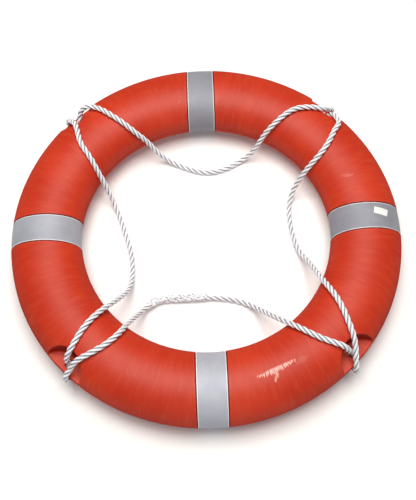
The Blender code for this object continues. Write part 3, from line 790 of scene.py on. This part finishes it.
# Between four corners: each corner's place times the share of it at both sides.
def makeLabel():
    share = np.linspace(0.0, 1.0, label["steps"] + 1)
    u, v = share[:, None, None], share[None, :, None]
    a, b, c, d = (np.array(corner) for corner in label["corners"])
    spot = (1 - u) * (1 - v) * a + u * (1 - v) * b + u * v * c + (1 - u) * v * d
    degrees = band["anglesDegrees"]["right_band"]
    top = onBand(degrees, spot[..., 0], spot[..., 1], band["outerInset"] - label["lift"])
    under = onBand(degrees, spot[..., 0], spot[..., 1], band["outerInset"] - label["sink"])
    rims = [np.stack([top[row], under[row]]) for row in (0, -1)]
    rims += [np.stack([top[:, column], under[:, column]]) for column in (0, -1)]
    sheets = [{"points": sheet} for sheet in (top, under, *rims)]
    return makePiece("band_label", sheets)


bandLabel = makeLabel()


# Plugs: a turned outline with rounded rims, carried round its own axis, from the
# stem's tip out over the flange to the shallow dish in its face.
def makePlug(name, degrees):
    seat, face, tip = plug["seat"], plug["face"], plug["tip"]
    stem, flange, dish = plug["stem"], plug["flange"], plug["dishRadius"]
    outline = np.array([
        (0.0, tip), (stem - 0.0005, tip), (stem - 0.0001, tip - 0.0001), (stem, tip - 0.0006),
        (stem, seat + 0.0001), (stem + 0.0001, seat), (flange - 0.0004, seat),
        (flange - 0.0001, seat - 0.0001), (flange, seat - 0.0004), (flange, face + 0.0005),
        (flange - 0.0002, face + 0.00015), (flange - 0.0007, face), (dish + 0.0004, face),
        (dish, face + 0.0001), (dish - 0.0004, face + 0.0006), (dish - 0.0009, face + 0.0008),
        (0.0, face + 0.0008)])
    radius, height = outline.T
    turn = np.linspace(0.0, 2 * math.pi, plug["stepsRound"] + 1)[:, None]
    place = math.radians(degrees)
    x = ring["radius"] * math.cos(place) + radius * np.cos(turn)
    y = ring["radius"] * math.sin(place) + radius * np.sin(turn)
    points = places(x, y, height)
    onRim = (radius > flange - 0.0008) & (height < face + 0.0006)
    wearShadeAndGlint = np.where(onRim, 0.8, 0.0)[None, :]
    piece = makePiece(name + "_cap", [{"points": points, "wearShadeAndGlint": wearShadeAndGlint}])
    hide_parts(name)
    return piece


plugs = [makePlug(name, degrees) for name, degrees in plug["anglesDegrees"].items()]
print("solid pieces made")


# A finish: one material of shader nodes. A value is a number or another node's
# socket; a ramp is the smooth step between two values, and a colour is opaque.
class Finish:
    def __init__(self, name):
        self.material = bpy.data.materials.new(name)
        self.material.use_nodes = True
        self.tree = self.material.node_tree
        self.shader = self.tree.nodes["Principled BSDF"]
        self.place = self.add("TexCoord").outputs["Object"]

    def add(self, kind, settings=None, **sockets):
        node = self.tree.nodes.new("ShaderNode" + kind)
        for key, value in (settings or {}).items():
            setattr(node, key, value)
        for key, value in sockets.items():
            number = int(key[1:]) if key[0] == "_" and key[1:].isdigit() else key.replace("_", " ")
            self.put(node.inputs[number], value)
        return node

    def put(self, socket, value):
        if isinstance(value, bpy.types.NodeSocket):
            self.tree.links.new(value, socket)
        elif socket.type == "RGBA":
            socket.default_value = (*value, 1.0)
        else:
            socket.default_value = value

    def maths(self, operation, first, second=0.0, third=0.0):
        return self.add("Math", {"operation": operation}, _0=first, _1=second, _2=third).outputs[0]

    def times(self, first, second):
        return self.maths("MULTIPLY", first, second)

    def plus(self, first, second):
        return self.maths("ADD", first, second)

    def less(self, first, second):
        return self.maths("SUBTRACT", first, second)

    def pair(self, first, second=0.0):
        return self.add("CombineXYZ", X=first, Y=second).outputs[0]

    def vector(self, operation, first, output, **others):
        return self.add("VectorMath", {"operation": operation}, _0=first, **others).outputs[output]

    # The mark per point: wear, and painted shade and painted highlight.
    def wearShadeAndGlint(self):
        return self.add("Attribute", {"attribute_name": "wearShadeAndGlint"}).outputs["Fac"]

    def ramp(self, value, low, high, start=0.0, end=1.0):
        node = self.add("MapRange", {"interpolation_type": "SMOOTHSTEP"}, Value=value,
                        From_Min=low, From_Max=high, To_Min=start, To_Max=end)
        return node.outputs[0]

    def noise(self, scale, detail=3.0, roughness=0.5, vector=None):
        node = self.add("TexNoise", Vector=vector or self.place, Scale=scale, Detail=detail,
                        Roughness=roughness)
        return node.outputs[0]

    def mix(self, share, first, second, blend="MIX"):
        node = self.add("Mix", {"data_type": "RGBA", "blend_type": blend}, _0=share, _6=first, _7=second)
        return node.outputs[2]

    def bump(self, height, distance, strength=1.0, under=None):
        node = self.add("Bump", Height=height, Distance=distance, Strength=strength)
        if under is not None:
            self.put(node.inputs["Normal"], under)
        return node.outputs[0]

    def finish(self, colour, roughness, normal, **constants):
        self.put(self.shader.inputs["Base Color"], colour)
        self.put(self.shader.inputs["Roughness"], roughness)
        self.put(self.shader.inputs["Normal"], normal)
        for key, value in constants.items():
            self.put(self.shader.inputs[key.replace("_", " ")], value)
        return self.material


paint = {
    "orange": (0.54, 0.034, 0.0095),
    "deep": (0.47, 0.024, 0.0065),
    # Pale: worn and streaked plastic, and also painted highlight, on the streaks and beside the bands.
    "fadedAndGlint": (0.60, 0.088, 0.035),
    "chalk": (0.86, 0.50, 0.43),
    # Painted shade along the seam.
    "seamShade": (0.20, 0.045, 0.03),
    # Painted shade for the notch walls and the gaps beside the bands, darkest in the gaps.
    "shadeRed": (0.23, 0.002, 0.003),
    "deepShadeRed": (0.095, 0.006, 0.006),
    # Each scuff: both ends in metres along the ring and round its section, and its
    # half width and share of the surface; its strokes run round the section.
    "scuffs": [((-0.3830, 0.0850), (-0.3170, 0.0872), 0.0072, 0.8),
               ((-0.3740, 0.0860), (-0.3460, 0.0870), 0.0062, 0.95),
               ((-0.3600, 0.0860), (-0.3515, 0.0765), 0.0048, 0.85),
               ((-0.3520, 0.0790), (-0.3600, 0.0660), 0.0042, 0.7),
               ((-0.3160, 0.0800), (-0.2980, 0.0800), 0.0110, 0.09),
               ((0.0932, 0.1186), (0.0854, 0.0965), 0.0060, 0.16),
               ((0.5042, 0.1209), (0.5048, 0.1211), 0.0020, 0.9)],
    "strokes": (430.0, 0.022),
    "gloss": {"Specular_IOR_Level": 0.0, "Coat_Weight": 0.07, "Coat_Roughness": 0.5, "Coat_IOR": 4.0},
}


# Round the ring and round the section, so that a pattern follows the tube.
def tubePlace(look):
    x, y, z = look.add("SeparateXYZ", Vector=look.place).outputs
    radius = look.maths("SQRT", look.plus(look.times(x, x), look.times(y, y)))
    level = look.less(z, ring["middle"])
    around = look.maths("ARCTAN2", y, x)
    return around, look.maths("ARCTAN2", level, look.less(radius, ring["radius"])), level


# How much a scuff covers: full on the line between its ends and nothing a half width
# away, thinner towards both ends, with ragged strokes that start at uneven heights.
def scuffCover(look, around, turn, scuff):
    first, last, reach, share = scuff
    often, ragged = paint["strokes"]
    run = np.array([*last, 0.0]) - np.array([*first, 0.0])
    u = look.times(around, ring["radius"])
    strokes = look.noise(1.0, 2.0, 0.6, look.pair(look.times(u, often)))
    v = look.plus(look.times(turn, ring["sectionRadius"]), look.times(look.less(strokes, 0.5), ragged))
    offset = look.pair(look.less(u, first[0]), look.less(v, first[1]))
    along = look.vector("DOT_PRODUCT", offset, "Value", _1=tuple(run / (run @ run)))
    passed = look.add("Clamp", Value=along).outputs[0]
    onLine = look.vector("SCALE", tuple(run), "Vector", Scale=passed)
    away = look.vector("DISTANCE", offset, "Value", _1=onLine)
    bulge = look.maths("SINE", look.times(passed, math.pi))
    width = look.times(look.maths("MULTIPLY_ADD", bulge, 0.65, 0.35), reach)
    cover = look.ramp(look.maths("DIVIDE", away, width), 0.3, 1.0, 1.0, 0.0)
    ticks = look.ramp(look.plus(strokes, look.times(cover, 0.10)), 0.50, 0.60)
    return look.times(look.times(cover, share), ticks)


# Fine pale streaks across the tube, thicker in broad patches, over a cloudy orange;
# the streaks are partly the plastic's own and partly a painted highlight. Then the
# worn rims, with a painted highlight beside the bands, painted shade in the hollows
# and along the seam, and the scuffs; the tone darkens the rear half as painted shade.
def shellMaterial(name, tone):
    look = Finish(name)
    around, turn, level = tubePlace(look)
    streaks = look.noise(1.0, 4.0, 0.6, look.pair(look.times(around, 150.0), look.times(turn, 1.6)))
    broad = look.noise(1.0, 2.0, 0.5, look.pair(look.times(around, 34.0), look.times(turn, 1.1)))
    cloud = look.noise(11.0, 3.0)
    colour = look.mix(look.ramp(cloud, 0.35, 0.7), paint["deep"], paint["orange"])
    # Pale streaks, partly the plastic's own and partly painted highlight.
    paleStreakAndGlint = look.times(look.ramp(streaks, 0.36, 0.72), look.ramp(broad, 0.36, 0.66, 0.08, 0.42))
    colour = look.mix(paleStreakAndGlint, colour, paint["fadedAndGlint"])
    wearShadeAndGlint = look.wearShadeAndGlint()
    # Above zero the mark is rubbed wear, and beside the bands a painted highlight.
    scratch = look.ramp(look.noise(140.0, 5.0, 0.7), 0.42, 0.62, 0.0, 0.6)
    rubbedAndGlint = look.times(look.maths("MAXIMUM", wearShadeAndGlint, 0.0), scratch)
    colour = look.mix(rubbedAndGlint, colour, paint["fadedAndGlint"])
    # Below zero the mark is painted shade, in the notch walls and the gaps beside the bands, broken up in
    # blotches.
    hollow = look.maths("MAXIMUM", look.times(wearShadeAndGlint, -1.0), 0.0)
    blotches = look.ramp(look.noise(45.0, 4.0), 0.3, 0.6, 0.7, 0.95)
    stainAndShade = look.mix(look.ramp(hollow, 0.86, 0.96), paint["shadeRed"], paint["deepShadeRed"])
    colour = look.mix(look.times(hollow, blotches), colour, stainAndShade)
    # Painted shade along the seam, broken up by noise.
    seam = look.ramp(look.maths("ABSOLUTE", level), 0.0008, 0.0018, 0.5, 0.0)
    seam = look.times(seam, look.ramp(look.noise(60.0, 4.0), 0.3, 0.6, 0.35, 1.0))
    colour = look.mix(seam, colour, paint["seamShade"])
    scuffed = 0.0
    for scuff in paint["scuffs"]:
        scuffed = look.maths("MAXIMUM", scuffCover(look, around, turn, scuff), scuffed)
    colour = look.mix(scuffed, colour, paint["chalk"])
    # The tone is painted shade: the rear half is darker.
    colour = look.mix(1.0, colour, (tone, tone, tone), "MULTIPLY")
    rough = look.ramp(streaks, 0.3, 0.8, 0.47, 0.57)
    rough = look.plus(rough, look.times(look.plus(rubbedAndGlint, scuffed), 0.25))
    normal = look.bump(look.noise(16.0, 2.0), 0.0006)
    normal = look.bump(streaks, 0.00012, 0.8, normal)
    normal = look.bump(look.noise(900.0, 2.0), 0.00004, 0.6, normal)
    return look.finish(colour, rough, normal, **paint["gloss"])


yarnPaint = {
    "white": (0.90, 0.92, 0.96),
    "dull": (0.77, 0.80, 0.86),
    "shade": (0.17, 0.19, 0.25),
    "soiled": (0.72, 0.69, 0.62),
}


# Yarns slant across each strand, by its share of the strand and its way along; the
# grooves between the strands get painted shade.
def ropeMaterial():
    look = Finish("rope_white")
    uv = look.add("UVMap", {"uv_map": "map"}).outputs[0]
    strand, along, _ = look.add("SeparateXYZ", Vector=uv).outputs
    slant = look.plus(look.times(strand, 11.0), look.times(along, 620.0))
    yarn = look.noise(1.0, 3.0, 0.55, look.pair(slant, look.times(along, 60.0)))
    ridge = look.maths("SINE", look.times(slant, 2.4))
    fuzz = look.noise(2600.0, 2.0, 0.7)
    colour = look.mix(look.ramp(yarn, 0.3, 0.7), yarnPaint["dull"], yarnPaint["white"])
    # Painted shade in the grooves between the strands.
    colour = look.mix(look.ramp(look.wearShadeAndGlint(), 0.15, 0.9, 0.0, 0.95), colour, yarnPaint["shade"])
    soil = look.ramp(look.noise(26.0, 4.0), 0.52, 0.75, 0.0, 0.22)
    colour = look.mix(soil, colour, yarnPaint["soiled"])
    normal = look.bump(look.plus(look.times(ridge, 0.35), yarn), 0.00028, 0.9)
    normal = look.bump(fuzz, 0.00012, 0.7, normal)
    rough = look.ramp(fuzz, 0.3, 0.7, 0.55, 0.8)
    return look.finish(colour, rough, normal, Sheen_Weight=0.25, Sheen_Roughness=0.5)


# Sheeting of small cells under a clear face, with a paler selvedge on both sides, in a tone per band that
# is painted light and shade.
def bandMaterial(name, tone):
    look = Finish(name + "_sheet")
    cells = look.add("TexVoronoi", {"feature": "DISTANCE_TO_EDGE"}, Vector=look.place, Scale=420.0)
    cells = cells.outputs[0]
    beads = look.noise(1500.0, 2.0)
    cloud = look.noise(24.0, 4.0, 0.6)
    colour = look.mix(look.ramp(cloud, 0.3, 0.7), (0.44, 0.45, 0.485), (0.51, 0.52, 0.55))
    colour = look.mix(look.ramp(cells, 0.02, 0.08, 0.16, 0.0), colour, (0.26, 0.27, 0.30))
    # The tone is painted light and shade; it also sets how pale the selvedge shows.
    colour = look.mix(1.0, colour, (tone, tone, tone * 1.085), "MULTIPLY")
    edge = look.times(look.ramp(look.wearShadeAndGlint(), 0.935, 0.965), 0.4 + 0.5 * tone)
    colour = look.mix(edge, colour, (0.90, 0.90, 0.92))
    stainAndShade = look.ramp(look.noise(70.0, 5.0, 0.7), 0.60, 0.72, 0.0, 0.25)
    colour = look.mix(stainAndShade, colour, (0.33, 0.28, 0.25))
    normal = look.bump(cells, 0.00004, 0.5)
    normal = look.bump(cloud, 0.00015, 0.5, normal)
    rough = look.ramp(beads, 0.3, 0.7, 0.50, 0.62)
    return look.finish(colour, rough, normal, Metallic=0.12, Specular_IOR_Level=0.3)


def labelMaterial():
    look = Finish("label_film")
    cloud = look.noise(90.0, 4.0)
    colour = look.mix(look.ramp(cloud, 0.35, 0.7), (0.80, 0.80, 0.80), (0.90, 0.90, 0.90))
    normal = look.bump(look.noise(320.0, 3.0), 0.00003)
    return look.finish(colour, look.ramp(cloud, 0.3, 0.7, 0.35, 0.5), normal)


def plugMaterial():
    look = Finish("plug_plastic")
    cloud = look.noise(60.0, 4.0)
    colour = look.mix(look.ramp(cloud, 0.35, 0.7), (0.44, 0.024, 0.011), (0.56, 0.036, 0.016))
    scratch = look.ramp(look.noise(400.0, 4.0), 0.4, 0.6, 0.0, 0.5)
    colour = look.mix(look.times(look.wearShadeAndGlint(), scratch), colour, paint["fadedAndGlint"])
    normal = look.bump(look.noise(900.0, 3.0), 0.00005)
    return look.finish(colour, look.ramp(cloud, 0.3, 0.7, 0.42, 0.6), normal)


def foamMaterial():
    look = Finish("foam_cells")
    cells = look.add("TexVoronoi", Vector=look.place, Scale=700.0).outputs["Distance"]
    cloud = look.noise(20.0, 4.0)
    colour = look.mix(look.ramp(cloud, 0.3, 0.7), (0.78, 0.66, 0.38), (0.88, 0.80, 0.56))
    colour = look.mix(look.ramp(cells, 0.0, 0.5, 0.3, 0.0), colour, (0.55, 0.44, 0.24))
    return look.finish(colour, look.ramp(cloud, 0.3, 0.7, 0.85, 0.98), look.bump(cells, 0.0004))


def wearMaterial(piece, material):
    piece.data.materials.clear()
    piece.data.materials.append(material)


wearMaterial(frontShell, shellMaterial("shell_orange", 1.0))
# The rear half's finish is a darker copy, as painted shade.
wearMaterial(rearShell, shellMaterial("rear_shell_orange", 0.95))
wearMaterial(grabLine, ropeMaterial())
for piece, (name, tone) in zip(bands, band["shadeTones"].items()):
    wearMaterial(piece, bandMaterial(name, tone))
wearMaterial(bandLabel, labelMaterial())
plugPlastic = plugMaterial()
for piece in plugs:
    wearMaterial(piece, plugPlastic)
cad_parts["foam_core"].material_slots[0].material = foamMaterial()
print("finishes made")


# Stage: a pale floor that glows more where the lamps reach it less, a wide soft lamp
# overhead, a small one in front, and a dim surround that shows pale.
stage = {
    "floorHalf": 12.0,
    "floor": ((0.84, 0.84, 0.85), (0.86, 0.86, 0.87)),
    "surround": (0.92, 0.95, 1.0, 1.0),
    "surroundStrength": 0.09,
    "backdropStrength": 0.95,
    "glow": ((0.7, 0.08), (3.0, 0.9)),
    "lamps": {
        "overhead": {"place": (-0.05, 0.25, 2.5), "aim": (0.0, 0.1, 0.0),
                     "facts": {"energy": 86.0, "color": (1.0, 0.975, 0.91), "size": 1.8}},
        "front": {"place": (0.1, -2.4, 1.3), "aim": (0.0, 0.0, 0.0),
                  "facts": {"energy": 6.0, "color": (1.0, 1.0, 1.0), "size": 1.6}},
    },
}


def makeFloor():
    half = stage["floorHalf"]
    mesh = bpy.data.meshes.new("floor")
    corners = [(-half, -half, 0), (half, -half, 0), (half, half, 0), (-half, half, 0)]
    mesh.from_pydata(corners, [], [(0, 1, 2, 3)])
    floor = addObject("floor", mesh)
    look = Finish("floor_pale")
    cloud = look.noise(3.0, 2.0)
    tone = look.mix(look.ramp(cloud, 0.2, 0.8), *stage["floor"])
    (near, dim), (far, bright) = stage["glow"]
    glow = look.ramp(look.vector("LENGTH", look.place, "Value"), near, far, dim, bright)
    rough = look.ramp(cloud, 0.2, 0.8, 0.85, 0.95)
    wearMaterial(floor, look.finish(tone, rough, look.bump(cloud, 0.0001),
                                    Emission_Color=(1.0, 1.0, 1.0), Emission_Strength=glow))


# The surround lights the ring dimly and is pale where the camera sees it.
def makeSurround():
    world = bpy.data.worlds.new("surround")
    world.use_nodes = True
    nodes, links = world.node_tree.nodes, world.node_tree.links
    background = nodes["Background"]
    background.inputs["Color"].default_value = stage["surround"]
    shown = nodes.new("ShaderNodeMapRange")
    shown.inputs["To Min"].default_value = stage["surroundStrength"]
    shown.inputs["To Max"].default_value = stage["backdropStrength"]
    rays = nodes.new("ShaderNodeLightPath")
    links.new(rays.outputs["Is Camera Ray"], shown.inputs["Value"])
    links.new(shown.outputs[0], background.inputs["Strength"])
    bpy.context.scene.world = world


def makeLamp(name, place, aim, facts):
    lamp = bpy.data.lights.new(name, "AREA")
    for key, value in facts.items():
        setattr(lamp, key, value)
    holder = addObject(name, lamp)
    holder.location = place
    holder.rotation_euler = (Vector(aim) - Vector(place)).to_track_quat("-Z", "Y").to_euler()


makeFloor()
makeSurround()
for name, lamp in stage["lamps"].items():
    makeLamp(name, **lamp)
bpy.context.scene.view_settings.view_transform = "Standard"
print("stage set")
